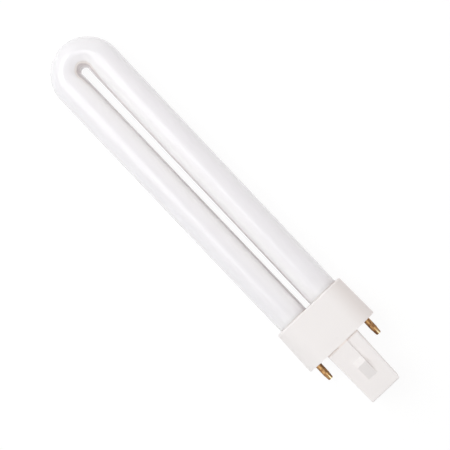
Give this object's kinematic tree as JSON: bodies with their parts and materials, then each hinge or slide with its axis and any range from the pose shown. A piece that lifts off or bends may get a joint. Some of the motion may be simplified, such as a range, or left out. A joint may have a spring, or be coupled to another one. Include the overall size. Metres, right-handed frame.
{
  "type": "ultraviolet compact tube lamp",
  "caption": "Coated glass tube bent into a narrow U, set in an oval plug-in base with hollow brass pins and a rectangular starter post with latch ribs.",
  "frame": {"origin": "midway between the two contact pins, on the face of the base that seats in the lampholder", "axes": "+X along the lamp from the glass to the tip of the starter post, +Y from pin to pin, +Z the thin way, up as the lamp lies"},
  "size_m": [0.1661, 0.0304, 0.0196],
  "materials": {
    "coated_glass": "clear glossy glass over a white powder coating inside",
    "white_plastic": "satin moulded plastic, warm white",
    "pin_brass": "drawn brass, slightly tarnished",
    "cement": "matt brown-grey capping cement",
    "lead_wire": "nickel-iron wire",
    "clear_glass": "clear blown glass",
    "capacitor_case": "dipped glossy resin, brown-red"
  },
  "bodies": {
    "root": {"discharge_tube": "coated_glass", "base_collar": "white_plastic", "starter_housing": "white_plastic", "contact_pin_left": "pin_brass", "contact_pin_right": "pin_brass", "socket_cement_left": "cement", "socket_cement_right": "cement", "pin_lead_left": "lead_wire", "pin_lead_right": "lead_wire", "limb_lead_left": "lead_wire", "limb_lead_right": "lead_wire", "crimp_sleeve_left": "lead_wire", "crimp_sleeve_right": "lead_wire", "starter_bulb": "clear_glass", "starter_lead_left": "lead_wire", "starter_lead_right": "lead_wire", "starter_bimetal": "lead_wire", "starter_capacitor": "capacitor_case", "capacitor_lead_left": "lead_wire", "capacitor_lead_right": "lead_wire"}
  },
  "joints": []
}
